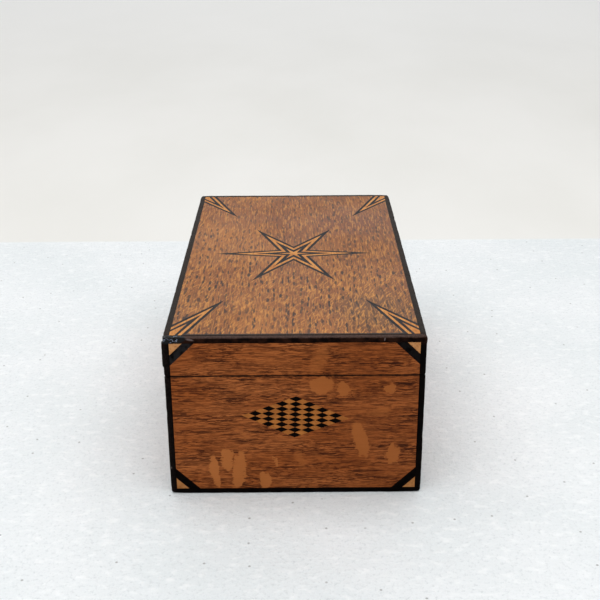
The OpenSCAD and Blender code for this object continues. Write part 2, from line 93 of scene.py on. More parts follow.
class Graph:
    """One material's node tree, with short ways to add to it.

    Its coordinates are those of the CAD frame with the box shut, in millimetres.
    """

    def __init__(self, name, **shader_values):
        self.material = bpy.data.materials.new(name)
        self.material.use_nodes = True
        self.tree = self.material.node_tree
        self.tree.nodes.clear()
        self.shader = self.tree.nodes.new("ShaderNodeBsdfPrincipled")
        output = self.tree.nodes.new("ShaderNodeOutputMaterial")
        self.tree.links.new(self.shader.outputs["BSDF"], output.inputs["Surface"])
        for socket, value in shader_values.items():
            self.shader.inputs[socket.replace("_", " ")].default_value = value
        coords = self.tree.nodes.new("ShaderNodeTexCoord")
        self.place = self.vector("MULTIPLY", coords.outputs["Object"], (1 / MM,) * 3)
        self.x, self.y, self.z = self.split(self.place)

    def add(self, kind, settings, inputs):
        """A new node whose inputs are values or links to other nodes."""
        node = self.tree.nodes.new(kind)
        for key, value in settings.items():
            setattr(node, key, value)
        for key, value in inputs.items():
            if isinstance(value, bpy.types.NodeSocket):
                self.tree.links.new(value, node.inputs[key])
            else:
                node.inputs[key].default_value = value
        return node

    def vector(self, operation, a, b):
        node = self.add("ShaderNodeVectorMath", {"operation": operation}, {0: a, 1: b})
        return node.outputs["Vector"]

    def length(self, a):
        return self.add("ShaderNodeVectorMath", {"operation": "LENGTH"}, {0: a}).outputs["Value"]

    def split(self, vector):
        return self.add("ShaderNodeSeparateXYZ", {}, {0: vector}).outputs

    def math(self, operation, a, b=0.0):
        return self.add("ShaderNodeMath", {"operation": operation}, {0: a, 1: b}).outputs[0]

    def times(self, a, b):
        return self.math("MULTIPLY", a, b)

    def between(self, value, low, high, out_low=0.0, out_high=1.0):
        """Smooth step of value from low to high."""
        settings = {"interpolation_type": "SMOOTHSTEP"}
        inputs = {0: value, 1: low, 2: high, 3: out_low, 4: out_high}
        return self.add("ShaderNodeMapRange", settings, inputs).outputs[0]

    def mix(self, share, a, b):
        """Colour a, with a share of colour b laid over it."""
        settings = {"data_type": "RGBA", "clamp_factor": True}
        return self.add("ShaderNodeMix", settings, {0: share, 6: a, 7: b}).outputs[2]

    def noise(self, vector, detail=2.0, roughness=0.5, distortion=0.0):
        """Noise with features about one unit of the vector in size."""
        inputs = {
            "Vector": vector, "Scale": 1.0, "Detail": detail,
            "Roughness": roughness, "Distortion": distortion,
        }
        return self.add("ShaderNodeTexNoise", {"noise_dimensions": "3D"}, inputs)

    def value_noise(self, vector, **options):
        return self.noise(vector, **options).outputs["Fac"]

    def units(self, size):
        """The place in units of a size, one for all three axes or one for each."""
        sizes = size if isinstance(size, tuple) else (size,) * 3
        return self.vector("MULTIPLY", self.place, tuple(1 / value for value in sizes))

    def mottle(self, size, **options):
        """Noise with features of a size in millimetres."""
        return self.value_noise(self.units(size), **options)

    def cells(self, vector):
        """Cells in the plane of x and y."""
        settings = {"feature": "F1", "voronoi_dimensions": "2D"}
        return self.add("ShaderNodeTexVoronoi", settings, {"Vector": vector, "Scale": 1.0})

    def turned(self, vector, centre, angle, size):
        """The vector measured from centre in a frame turned by angle, in units of size."""
        inputs = {"Vector": vector, "Location": centre, "Rotation": angle, "Scale": size}
        return self.add("ShaderNodeMapping", {"vector_type": "TEXTURE"}, inputs).outputs[0]

    def spot(self, centre, half_size, angle=(0.0, 0.0, 0.0)):
        """Distance from centre in units of the spot's half sizes, so 1 at its edge."""
        return self.length(self.turned(self.place, centre, angle, half_size))

    def colour(self, value):
        self.tree.links.new(value, self.shader.inputs["Base Color"])

    def roughness(self, value):
        self.tree.links.new(value, self.shader.inputs["Roughness"])

    def specular(self, value):
        self.tree.links.new(value, self.shader.inputs["Specular IOR Level"])

    def bump(self, height, distance_mm, strength):
        inputs = {"Strength": strength, "Distance": distance_mm * MM, "Height": height}
        node = self.add("ShaderNodeBump", {}, inputs)
        self.tree.links.new(node.outputs[0], self.shader.inputs["Normal"])


# ---- oak: parts shared by its materials ----


def along(grain, fibre, cross):
    """A vector with one value along the grain and another across it."""
    return tuple(fibre if axis == grain else cross for axis in "XYZ")


def stretched(g, place, grain, length, width):
    """The place in units of a length along the grain and a width across it."""
    return g.vector("MULTIPLY", place, along(grain, 1 / length, 1 / width))


def drift(g, vector, detail, reach):
    """Noise as an offset of up to about half of reach, either way."""
    cloud = g.noise(vector, detail=detail).outputs["Color"]
    return g.vector("MULTIPLY", g.vector("SUBTRACT", cloud, (0.5, 0.5, 0.5)), reach)


def fibre_place(g, grain, wander_mm=7.0, flutter_mm=1.3):
    """The place in the wood once the wander and flutter of its fibres are taken out."""
    wander = drift(g, stretched(g, g.place, grain, 70, 24), 2.0, along(grain, 0.0, wander_mm))
    flutter = drift(g, stretched(g, g.place, grain, 12, 5), 1.0, along(grain, 0.0, flutter_mm))
    return g.vector("ADD", g.vector("ADD", g.place, wander), flutter)


def lines(g, fibres, grain, length, width, low, high):
    """Thin ragged lines along the grain, 1 where the noise passes high."""
    value = g.value_noise(stretched(g, fibres, grain, length, width), detail=2.5, roughness=0.6)
    return g.between(value, low, high)


def dashes(g, fibres, grain, length, width, share, reach):
    """Pores: long thin cells, of which a share is filled, each up to its own reach."""
    cells = g.cells(stretched(g, fibres, grain, length, width))
    chance = g.split(cells.outputs["Color"])[0]
    size = g.between(chance, 0.95 - share, 1.4 - share, -0.05, reach)
    return g.between(g.math("SUBTRACT", cells.outputs["Distance"], size), 0.04, -0.05)


def patches(g, grain, length, width, low, high):
    """Broad uneven zones along the grain, with values between low and high."""
    value = g.value_noise(stretched(g, g.place, grain, length, width), detail=2.0)
    return g.between(value, 0.32, 0.68, low, high)


# ---- oak of the sides ----

# Ray flecks on the near end: x, z, half width, half height in millimetres and lean in degrees
FLECKS = [
    (-48.7, 15.4, 2.6, 12.2, -7),
    (-41.2, 25.0, 3.8, 7.4, -4),
    (-34.2, 16.6, 4.0, 13.0, 10),
    (-18.6, 9.6, 3.6, 5.6, 0),
    (-11.8, 22.5, 1.0, 3.4, -25),
    (38.8, 37.5, 4.2, 13.2, -14),
    (58.2, 27.0, 4.1, 6.6, 0),
    (15.1, 74.1, 7.6, 5.4, 0),
    (28.8, 71.8, 3.6, 5.6, -20),
    (55.7, 72.2, 3.0, 3.6, -20),
]
FAINT_FLECKS = [
    (13.9, 91.0, 4.2, 9.0, 25),
    (3.0, 24.0, 2.4, 6.0, -15),
    (50.0, 56.0, 7.0, 3.0, -10),
]
# How far a fleck reaches into the wood
FLECK_DEPTH = 60.0


def near_flecks(g, spots, soft):
    """Ray flecks at their own places on the near end, 1 inside a fleck."""
    bend = drift(g, g.units((3.2, 3.2, 5)), 1.0, (4.5, 0.0, 7.0))
    ragged = drift(g, g.units((2.2, 1.0, 0.9)), 2.0, (5.0, 0.0, 1.0))
    place = g.vector("ADD", g.vector("ADD", g.place, bend), ragged)
    nearest = None
    for x, z, half_width, half_height, lean in spots:
        angle = (0.0, math.radians(lean), 0.0)
        half_size = (half_width, FLECK_DEPTH, half_height)
        distance = g.length(g.turned(place, (x, -HALF_Y, z), angle, half_size))
        nearest = distance if nearest is None else g.math("MINIMUM", nearest, distance)
    return g.between(nearest, 1.0 + soft, 1.0 - soft)


def scattered_flecks(g, grain):
    """Ray flecks that lie across the grain here and there."""
    shape = g.vector("ADD", stretched(g, g.place, grain, 9, 17), (3.1, 7.7, 1.3))
    return g.between(g.value_noise(shape, detail=2.0, roughness=0.45), 0.64, 0.70)


def side_flecks(g, grain, hand_placed):
    """All ray flecks of a side. On the near end they lie where they are listed."""
    scattered = scattered_flecks(g, grain)
    if not hand_placed:
        return scattered
    near = g.between(g.y, 0.0, -1.0)
    faint = g.times(near_flecks(g, FAINT_FLECKS, 0.45), 0.5)
    placed = g.math("MAXIMUM", near_flecks(g, FLECKS, 0.12), faint)
    elsewhere = g.times(scattered, g.math("SUBTRACT", 1.0, near))
    return g.math("MAXIMUM", g.times(placed, near), elsewhere)


def side_lines(g, grain, fleck):
    """Soft, fine and long pore lines, which all but stop in the flecks."""
    fibres = fibre_place(g, grain, 4.0, 0.8)
    plain = g.math("SUBTRACT", 1.0, g.times(fleck, 0.88))
    zone = g.times(patches(g, grain, 26, 7, 0.45, 1.0), plain)
    soft = g.times(g.times(lines(g, fibres, grain, 22, 1.8, 0.38, 0.64), 0.45), plain)
    fine = g.times(g.times(lines(g, fibres, grain, 4.5, 0.5, 0.49, 0.55), 0.85), zone)
    long = g.times(g.times(lines(g, fibres, grain, 15, 0.65, 0.53, 0.58), 0.9), zone)
    return soft, fine, long


def inside_mask(g):
    """1 in the hollow of the box, out to a little way onto the rim of its boards."""
    walls_x = g.between(g.math("ABSOLUTE", g.x), INSIDE_X + 2.5, INSIDE_X + 1.5)
    walls_y = g.between(g.math("ABSOLUTE", g.y), INSIDE_Y + 2.0, INSIDE_Y + 1.0)
    return g.times(walls_x, walls_y)


def seam_shadow_line(g):
    """1 in the painted shadow line in the gap where the lid meets the body."""
    distance = g.math("ABSOLUTE", g.math("SUBTRACT", g.z, (SEAM + LID_Z) / 2))
    return g.between(g.math("ADD", distance, g.mottle(3, detail=3.0)), 1.35, 0.75)


def oak_side(name, grain, hand_placed):
    """Waxed oak of the four sides: fine dark pore lines, smooth lighter flecks, bare wood inside."""
    g = Graph(name, Specular_IOR_Level=0.05)
    tone = g.value_noise(stretched(g, g.place, grain, 60, 26), detail=3.0)
    colour = g.mix(g.between(tone, 0.3, 0.7), srgb(180, 104, 55), srgb(160, 86, 39))
    if hand_placed:
        colour = g.mix(g.between(g.x, 0.0, 50.0, 0.0, 0.35), colour, srgb(138, 72, 32))
    fleck = side_flecks(g, grain, hand_placed)
    soft, fine, long = side_lines(g, grain, fleck)
    colour = g.mix(soft, colour, srgb(112, 54, 22))
    colour = g.mix(fine, colour, srgb(70, 30, 11))
    colour = g.mix(long, colour, srgb(46, 18, 7))
    smooth_wood = g.mix(g.between(g.x, -14.0, 6.0), srgb(184, 114, 60), srgb(166, 98, 48))
    colour = g.mix(g.times(fleck, 0.5), colour, smooth_wood)
    marks = g.math("MAXIMUM", fine, long)
    inside = inside_mask(g)
    bare = g.mix(g.times(marks, 0.8), srgb(190, 150, 102), srgb(104, 70, 42))
    colour = g.mix(inside, colour, bare)
    # Painted shadow: the seam between lid and body is darkened in the colour.
    g.colour(g.mix(g.times(seam_shadow_line(g), 0.93), colour, srgb(20, 9, 5)))
    polish = g.between(tone, 0.2, 0.8, 0.42, 0.56)
    g.roughness(g.math("ADD", polish, g.times(inside, 0.25)))
    g.bump(g.times(marks, -1.0), 0.10, 0.5)
    return g.material


# ---- oak of the lid panel and the bottom ----

# Width of a year's ring, and of the dark joint around the lid panel
RING_WIDTH = 4.3
JOINT_WIDTH = 0.5


def joint_dirt(g):
    """1 in the dark joint between the lid panel and its banding, widest along the near end."""
    edge_x = g.math("SUBTRACT", IN_X, g.math("ABSOLUTE", g.x))
    edge_far = g.math("SUBTRACT", IN_Y, g.y)
    edge_near = g.math("ADD", g.y, IN_Y - 2 * JOINT_WIDTH)
    edge = g.math("MINIMUM", g.math("MINIMUM", edge_x, edge_far), edge_near)
    ragged = g.math("ADD", edge, g.times(g.mottle(2.5, detail=2.0), 0.8))
    return g.between(ragged, JOINT_WIDTH + 0.4, JOINT_WIDTH - 0.1)


def lid_tones(g):
    """Broad tones of the lid: redder at the far right, warmer at the left, dull at the near corners."""
    tone = g.value_noise(stretched(g, g.place, "Y", 70, 30), detail=3.0)
    colour = g.mix(g.between(tone, 0.32, 0.68), srgb(154, 93, 35), srgb(129, 72, 27))
    red = g.spot((42.0, 60.0, TOP), (26.0, 34.0, 60.0), (0.0, 0.0, 0.3))
    colour = g.mix(g.between(red, 1.2, 0.3, 0.0, 0.6), colour, srgb(112, 55, 31))
    colour = g.mix(g.between(g.x, -30.0, 70.0, 0.0, 0.45), colour, srgb(112, 64, 32))
    warm = g.spot((-42.0, 12.0, TOP), (30.0, 42.0, 60.0), (0.0, 0.0, 0.2))
    colour = g.mix(g.between(warm, 1.2, 0.3, 0.0, 0.5), colour, srgb(168, 105, 41))
    dull = g.spot((48.0, -92.0, TOP), (28.0, 34.0, 60.0), (0.0, 0.0, 0.2))
    colour = g.mix(g.between(dull, 1.2, 0.3, 0.0, 0.6), colour, srgb(92, 66, 42))
    sides = g.between(g.math("ABSOLUTE", g.x), 20.0, 70.0)
    corners = g.times(sides, g.between(g.y, -30.0, -110.0))
    return g.mix(g.times(corners, 0.4), colour, srgb(98, 62, 32))


def lid_streaks(g, fibres, dark, colour):
    """Dark and golden streaks along the grain, and rays that slant towards the near end."""
    colour = g.mix(g.times(dark, 0.5), colour, srgb(84, 44, 17))
    golden = lines(g, g.vector("ADD", fibres, (31.0, 17.0, 5.0)), "Y", 12, 1.0, 0.51, 0.62)
    colour = g.mix(g.times(golden, 0.5), colour, srgb(200, 136, 62))
    slant = (0.0, 0.0, math.radians(-22))
    ray_place = g.turned(fibres, (0.0, 0.0, 0.0), slant, (1.1, 6.0, 9.0))
    rays = g.between(g.value_noise(ray_place, detail=2.5, distortion=0.5), 0.54, 0.64)
    near = g.between(g.y, 30.0, -60.0)
    return g.mix(g.times(g.times(rays, near), 0.5), colour, srgb(208, 140, 60))


def lid_pores(g, fibres):
    """Coarse pores in rows, one to each year's ring, with small ones between."""
    wave = g.math("COSINE", g.times(g.split(fibres)[0], 2 * math.pi / RING_WIDTH))
    rows = g.times(g.between(wave, -0.5, 0.4, 0.2, 1.0), patches(g, "Y", 80, 6, 0.7, 1.0))
    coarse = g.times(dashes(g, fibres, "Y", 9.0, 2.4, 0.95, 0.34), rows)
    other = g.vector("ADD", fibres, (13.0, 29.0, 3.0))
    small = g.times(dashes(g, other, "Y", 6.0, 1.8, 0.3, 0.27), 0.8)
    return g.math("MAXIMUM", coarse, small)


def oak_top():
    """Waxed oak of the lid panel, with bare wood on its underside."""
    g = Graph("oak_top", Specular_IOR_Level=0.26)
    fibres = fibre_place(g, "Y")
    streaks = lines(g, fibres, "Y", 20, 0.9, 0.46, 0.60)
    pores = lid_pores(g, fibres)
    depth = g.times(g.between(g.y, 110.0, -110.0, 0.7, 1.0), patches(g, "Y", 50, 16, 0.7, 1.0))
    dark_pores = g.times(pores, depth)
    colour = lid_streaks(g, fibres, streaks, lid_tones(g))
    colour = g.mix(dark_pores, colour, srgb(24, 14, 9))
    colour = g.mix(g.times(joint_dirt(g), 0.9), colour, srgb(14, 7, 5))
    bare = g.mix(g.times(streaks, 0.6), srgb(186, 146, 98), srgb(120, 84, 50))
    bare = g.mix(g.times(pores, 0.6), bare, srgb(84, 56, 33))
    underside = g.between(g.z, PANEL_LOW.z + 1.5, PANEL_LOW.z + 1.0)
    g.colour(g.mix(underside, colour, bare))
    g.roughness(g.between(g.mottle((40, 55, 40), detail=4.0), 0.3, 0.7, 0.30, 0.46))
    g.bump(g.times(dark_pores, -1.0), 0.15, 0.7)
    return g.material


def oak_bare():
    """Unfinished oak of the bottom board, darker towards its walls: dust and painted shade in the
    corners.
    """
    g = Graph("oak_inside", Specular_IOR_Level=0.2, Roughness=0.72)
    fibres = fibre_place(g, "Y")
    tone = g.value_noise(stretched(g, g.place, "Y", 60, 25), detail=3.0)
    colour = g.mix(g.between(tone, 0.3, 0.7), srgb(184, 146, 98), srgb(150, 110, 68))
    streaks = lines(g, fibres, "Y", 22, 1.2, 0.45, 0.72)
    colour = g.mix(g.times(streaks, 0.6), colour, srgb(112, 76, 44))
    pores = dashes(g, fibres, "Y", 7.0, 1.6, 0.7, 0.42)
    colour = g.mix(g.times(pores, 0.7), colour, srgb(78, 52, 30))
    edge_x = g.math("SUBTRACT", INSIDE_X, g.math("ABSOLUTE", g.x))
    edge_y = g.math("SUBTRACT", INSIDE_Y, g.math("ABSOLUTE", g.y))
    # Dust and painted shade: the floor of the box darkens within 9 mm of the walls.
    dust_and_shade = g.between(g.math("MINIMUM", edge_x, edge_y), 9.0, 0.0, 0.0, 0.45)
    g.colour(g.mix(dust_and_shade, colour, srgb(70, 50, 34)))
    g.bump(g.times(pores, -1.0), 0.15, 0.6)
    return g.material


# ---- inlay woods, banding and metal ----


def light_inlay(name, light, deep):
    """Golden boxwood with fine darker lines, between a light and a deep tone."""
    g = Graph(name, Specular_IOR_Level=0.10, Roughness=0.42)
    fine = g.mottle((1.1, 5, 1.1), detail=3.0)
    tone = g.mottle((7, 9, 7), detail=2.0)
    colour = g.mix(g.between(tone, 0.3, 0.7), light, deep)
    g.colour(g.mix(g.between(fine, 0.5, 0.72, 0.0, 0.5), colour, srgb(116, 66, 30)))
    g.bump(fine, 0.05, 0.4)
    return g.material


def dark_inlay():
    """Ebonised inlay: near black, rubbed a little grey on the lid's bars, with a painted sheen of grey
    on its top.
    """
    g = Graph("ebonised_inlay", Specular_IOR_Level=0.02)
    tone = g.mottle((3, 6, 3), detail=3.0)
    colour = g.mix(g.between(tone, 0.35, 0.7), srgb(3, 1, 1), srgb(10, 5, 3))
    upper = g.times(g.between(g.z, SEAM, SEAM + 10.0), g.between(g.x, 60.0, -60.0, 0.3, 1.0))
    rubbed = g.times(upper, g.between(tone, 0.3, 0.6))
    colour = g.mix(rubbed, colour, srgb(33, 31, 32))
    # Painted sheen: the top faces get a grey colour that stands in for reflected light.
    worn = g.between(g.z, TOP - 0.4, TOP - 0.1)
    dull = g.mix(g.between(tone, 0.35, 0.7), srgb(46, 46, 48), srgb(60, 58, 58))
    g.colour(g.mix(worn, colour, dull))
    g.roughness(g.between(tone, 0.3, 0.7, 0.34, 0.5))
    g.bump(tone, 0.06, 0.5)
    return g.material


def top_wear_and_sheen(g, coarse, fine, colour):
    """Adds the wear and a painted sheen on top of the banding: grey tones that stand in for reflected
    light. The near strip is dark along its joint, with a painted highlight along its outer arris.
    """
    near_strip = g.between(g.y, 3.0 - IN_Y, -IN_Y)
    # Painted highlight along the near strip's outer arris.
    arris_highlight = g.between(g.y, -IN_Y - 0.8, -IN_Y - 2.0)
    near_highlit_tone = g.mix(arris_highlight, srgb(42, 31, 28), srgb(86, 68, 62))
    # Grey top faces: wear with a painted sheen.
    dull = g.mix(near_strip, srgb(56, 52, 49), near_highlit_tone)
    dull = g.mix(g.between(fine, 0.35, 0.65, 0.0, 0.5), dull, srgb(30, 24, 22))
    worn = g.between(g.math("ADD", g.z, coarse), TOP - 0.5, TOP + 0.4)
    return g.mix(g.times(worn, 0.8), colour, dull)


def pale_marks(g, colour):
    """Adds a scratch, a dot and a chip in the banding of the near end."""
    scratch = g.spot((51.6, -HALF_Y, 104.4), (0.5, 2.0, 1.3), (0.0, 0.2, 0.0))
    dot = g.spot((-75.1, -HALF_Y, 18.6), (0.6, 2.0, 0.8))
    chip = g.spot((-60.3, -HALF_Y, 104.7), (2.8, 2.0, 0.7), (0.0, 0.2, 0.0))
    nearest = g.math("MINIMUM", g.math("MINIMUM", scratch, dot), chip)
    return g.mix(g.times(g.between(nearest, 1.1, 0.5), 0.7), colour, srgb(112, 98, 96))


def corner_fill(g, colour):
    """Adds the glossy fill with painted glints: thin pale bluish lines that stand in for highlights on
    its ridges. Gives the colour and the fill's mask.
    """
    distance = g.spot(FILL_CENTRE, (10.0, 4.0, 4.5))
    fill = g.between(distance, 1.05, 0.85)
    colour = g.mix(fill, colour, srgb(6, 6, 7))
    ripple = g.mottle((5.5, 3, 2.6), detail=0.0, distortion=1.2)
    # Painted glints on the fill's ridges.
    glint_lines = g.between(g.math("ABSOLUTE", g.math("SUBTRACT", ripple, 0.5)), 0.035, 0.012)
    heart = g.between(distance, 0.8, 0.55)
    colour = g.mix(g.times(g.times(glint_lines, heart), 0.8), colour, srgb(150, 160, 182))
    return colour, fill


def banding_black():
    """Black banding under old polish: browner near the top, grey on its top faces from wear and a
    painted sheen, rubbed grey along the left side.
    """
    g = Graph("ebonised_banding", Specular_IOR_Level=0.02)
    coarse = g.mottle(6, detail=4.0)
    fine = g.mottle(0.8, detail=2.0)
    colour = g.mix(g.between(coarse, 0.4, 0.7), srgb(3, 1, 1), srgb(12, 6, 4))
    rubbed = g.times(g.between(g.x, -HALF_X + 5.0, -HALF_X), g.between(fine, 0.4, 0.62))
    colour = g.mix(g.times(rubbed, 0.7), colour, srgb(36, 28, 26))
    brown = g.mix(g.between(coarse, 0.38, 0.62), srgb(8, 2, 1), srgb(38, 19, 11))
    colour = g.mix(g.between(g.z, TOP - 6.0, TOP - 3.5), colour, brown)
    colour = top_wear_and_sheen(g, coarse, fine, colour)
    colour, fill = corner_fill(g, pale_marks(g, colour))
    g.colour(colour)
    satin = g.between(coarse, 0.3, 0.7, 0.30, 0.46)
    g.roughness(g.math("SUBTRACT", satin, g.times(fill, 0.2)))
    g.specular(g.math("ADD", g.times(fill, 0.12), 0.02))
    g.bump(g.math("ADD", coarse, g.times(fine, 0.3)), 0.12, 0.5)
    return g.material


def metal(name, bright, dull, base_roughness):
    """Old metal, dulled unevenly."""
    g = Graph(name, Metallic=1.0)
    patina = g.mottle(4, detail=4.0)
    fine = g.mottle(0.7, detail=2.0)
    g.colour(g.mix(g.between(patina, 0.38, 0.68), bright, dull))
    g.roughness(g.between(patina, 0.3, 0.7, base_roughness, base_roughness + 0.25))
    g.bump(g.math("ADD", patina, g.times(fine, 0.4)), 0.05, 0.4)
    return g.material


def dress(material, *names):
    """Gives CAD nodes a material."""
    for name in names:
        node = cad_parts[name]
        node.data.materials.clear()
        node.data.materials.append(material)


def dress_wood():
    oak_across = oak_side("oak_ends", "X", True)
    dress(oak_across, "near_end_board", "far_end_board", "lid_rail_near", "lid_rail_far")
    oak_along = oak_side("oak_long_sides", "Y", False)
    dress(oak_along, "front_board", "back_board", "lid_rail_front", "lid_rail_back")
    dress(oak_top(), "lid_panel")
    dress(oak_bare(), "bottom_board")


def dress_inlay():
    lid_wood = light_inlay("boxwood_lid", srgb(200, 138, 74), srgb(178, 114, 56))
    dress(lid_wood, "star_light", "star_core", "spear_light", "spear_core")
    lozenge_wood = light_inlay("boxwood_lozenge", srgb(182, 112, 50), srgb(160, 94, 40))
    dress(lozenge_wood, "near_lozenge_light", "far_lozenge_light")
    upper_wood = light_inlay("boxwood_upper_corners", srgb(200, 142, 90), srgb(178, 118, 68))
    dress(upper_wood, "lid_corner_triangles")
    lower_wood = light_inlay("boxwood_lower_corners", srgb(178, 120, 68), srgb(158, 100, 50))
    dress(lower_wood, "body_corner_triangles")
    dress(dark_inlay(), "star_outline", "star_inner", "spear_outline", "spear_inner",
          "near_lozenge_dark", "far_lozenge_dark", "body_corner_bars", "lid_corner_bars")


def dress_metal():
    brass = metal("old_brass", srgb(196, 156, 86), srgb(112, 80, 44), 0.30)
    dress(brass, "hinge_body_leaf_near", "hinge_body_leaf_far", "hinge_lid_leaf_near",
          "hinge_lid_leaf_far", "hinge_body_screws", "hinge_lid_screws", "lock_case",
          "lock_cap", "lock_screws", "keyhole_escutcheon", "lock_link_plate",
          "link_plate_screws")
    steel = metal("dull_steel", srgb(150, 150, 152), srgb(84, 80, 78), 0.36)
    dress(steel, "hinge_pin_near", "hinge_pin_far", "lock_bolt")


# ---- worn edge banding, in millimetres until its meshes are made ----

# Radius of the worn edges, the extra wear at the corners of the box and how far that reaches
ARRIS = 1.0
CORNER_WEAR = 0.8
CORNER_REACH = 8.0
# Shallow groove where a strip meets the wood, and its width
GROOVE = 0.16
GROOVE_WIDTH = 0.3
# Distances from the arris, and from a strip's ends, at which the surface has points
ARRIS_STEPS = [0.0, 0.22, 0.5, 0.85, 1.3, 1.8, 2.4, 3.0]
END_STEPS = [0.0, 0.22, 0.5, 0.9, 1.5, 2.4, 3.7]
# Distance between points along a strip, for the lid and the corners and for the base
FINE_STEP = 0.7
BASE_STEP = 1.6
# Depths of the cut-back outer faces at mitres, at plain joints and at the seam, and their slope
MITRE_BEVEL = 0.05
JOINT_BEVEL = 0.12
SEAM_BEVEL = 0.7
BEVEL_SLOPE = 1.24
# Height of the replaced strip's lower end above the seam
PROUD_END = 5.5
# Lumps (+) and dents (-) in the banding: centre, reach and height
LUMPS = [
    ((70.5, -HALF_Y, TOP), 6.0, 0.45),
    ((HALF_X, -126.0, 103.5), 3.5, 0.40),
    ((HALF_X, -28.1, TOP), 1.6, -0.45),
    ((-75.0, -HALF_Y, TOP), 3.0, 0.55),
    ((-68.0, -HALF_Y, TOP - 0.5), 2.2, 0.50),
    ((-71.5, -HALF_Y, TOP - 1.5), 1.8, -0.50),
    ((-60.0, -HALF_Y, TOP), 3.0, -0.25),
    ((20.0, -HALF_Y, TOP), 5.0, -0.18),
    ((-30.0, -HALF_Y, TOP), 6.0, -0.15),
    ((-HALF_X, 40.0, TOP), 5.0, -0.25),
    ((-HALF_X, -60.0, TOP), 4.0, -0.2),
    ((HALF_X, 70.0, TOP), 5.0, -0.25),
    ((0.0, HALF_Y, TOP), 6.0, -0.2),
    ((HALF_X, -HALF_Y, 40.0), 5.0, -0.2),
    ((-HALF_X, -HALF_Y, 56.0), 4.0, -0.2),
]
# How far the ridges of the corner's fill reach
FILL_REACH = 12.0


def smooth(value, low, high):
    """Smooth step from 0 at low to 1 at high."""
    share = min(max((value - low) / (high - low), 0.0), 1.0)
    return share * share * (3 - 2 * share)


def ripple(point, size, height):
    """Smooth bumps and hollows of about the given size, up to the given height."""
    return height * noise.noise(point / size)


def swell(point):
    """How far the banding's surface stands out at a point."""
    height = ripple(point, 17.0, 0.10) + ripple(point, 4.5, 0.045)
    for centre, reach, lump in LUMPS:
        distance = (point - Vector(centre)).length
        height += lump * (1 - smooth(distance, 0.0, reach))
    fill = 1 - smooth((point - Vector(FILL_CENTRE)).length, FILL_REACH * 0.4, FILL_REACH)
    return height + fill * (ripple(point, 2.3, 0.42) + ripple(point, 1.1, 0.22))


def arris_radius(point):
    """Radius of the worn edge at a point, larger at the corners of the box."""
    level = TOP if point.z > TOP / 2 else 0.0
    corner = Vector((math.copysign(HALF_X, point.x), math.copysign(HALF_Y, point.y), level))
    wear = CORNER_WEAR * (1 - smooth((point - corner).length, 1.0, CORNER_REACH))
    return ARRIS * (1.0 + 0.35 * noise.noise(point / 9.0)) + wear


def rounded(point, radius):
    """Moves a point on the square block onto the block with worn, rounded edges."""
    centre = Vector((0.0, 0.0, TOP / 2))
    half = Vector((HALF_X, HALF_Y, TOP / 2))
    local = point - centre
    over = [max(abs(local[i]) - (half[i] - radius), 0.0) for i in range(3)]
    reach = math.sqrt(sum(value * value for value in over))
    share = radius / reach if reach > radius else 1.0
    out = []
    for i in range(3):
        inner = min(abs(local[i]), half[i] - radius)
        out.append(math.copysign(inner + over[i] * share, local[i]))
    return centre + Vector(out)


def outward(point):
    """Sum of the outward directions of the block's faces that the point lies on."""
    direction = Vector((0.0, 0.0, 0.0))
    if abs(point.x) > HALF_X - 0.01:
        direction.x = math.copysign(1.0, point.x)
    if abs(point.y) > HALF_Y - 0.01:
        direction.y = math.copysign(1.0, point.y)
    if point.z > TOP - 0.01:
        direction.z = 1.0
    if point.z < 0.01:
        direction.z = -1.0
    return direction


def worn_point(point, cut, in_joint):
    """Where a point of the square block lies on the worn banding, cut back near a strip's end."""
    worn = rounded(point, arris_radius(point))
    height = swell(point)
    if in_joint:
        height -= GROOVE
    direction = outward(point)
    if direction.length > 0:
        worn += direction.normalized() * (height - cut)
    if cut > JOINT_BEVEL:
        worn.x = math.copysign(min(abs(worn.x), HALF_X - cut), worn.x)
        worn.y = math.copysign(min(abs(worn.y), HALF_Y - cut), worn.y)
    worn.z = max(worn.z, 0.0)
    return worn


def section():
    """Outline of the banding: u and v outward, with more points near the worn arris."""
    inner = [(0.0, 0.0), (BAND / 2, 0.0), (BAND, 0.0), (BAND, GROOVE_WIDTH)]
    side = [(BAND, BAND - step) for step in reversed(ARRIS_STEPS)]
    top = [(BAND - step, BAND) for step in ARRIS_STEPS[1:]]
    return inner + side + top + [(GROOVE_WIDTH, BAND), (0.0, BAND), (0.0, BAND / 2)]


def stations(low, high, step):
    """Places along a strip, closer together near its ends."""
    first = [low + end for end in END_STEPS]
    last = [high - end for end in reversed(END_STEPS)]
    count = max(2, round((last[0] - first[-1]) / step))
    middle = [first[-1] + (last[0] - first[-1]) * i / count for i in range(1, count)]
    return first + middle + last


def join_rings(mesh, rings):
    """Faces between neighbouring rings of points, and over the first and the last ring."""
    sides = len(rings[0])
    for one, two in zip(rings, rings[1:]):
        for i in range(sides):
            j = (i + 1) % sides
            mesh.faces.new((one[i], one[j], two[j], two[i]))
    mesh.faces.new(list(reversed(rings[0])))
    mesh.faces.new(rings[-1])
    bmesh.ops.recalc_face_normals(mesh, faces=mesh.faces)


def smooth_piece(name, mesh):
    """A smooth shaded object made from a finished bmesh."""
    data = bpy.data.meshes.new(name)
    mesh.to_mesh(data)
    mesh.free()
    for polygon in data.polygons:
        polygon.use_smooth = True
    piece = bpy.data.objects.new(name, data)
    bpy.context.scene.collection.objects.link(piece)
    return piece


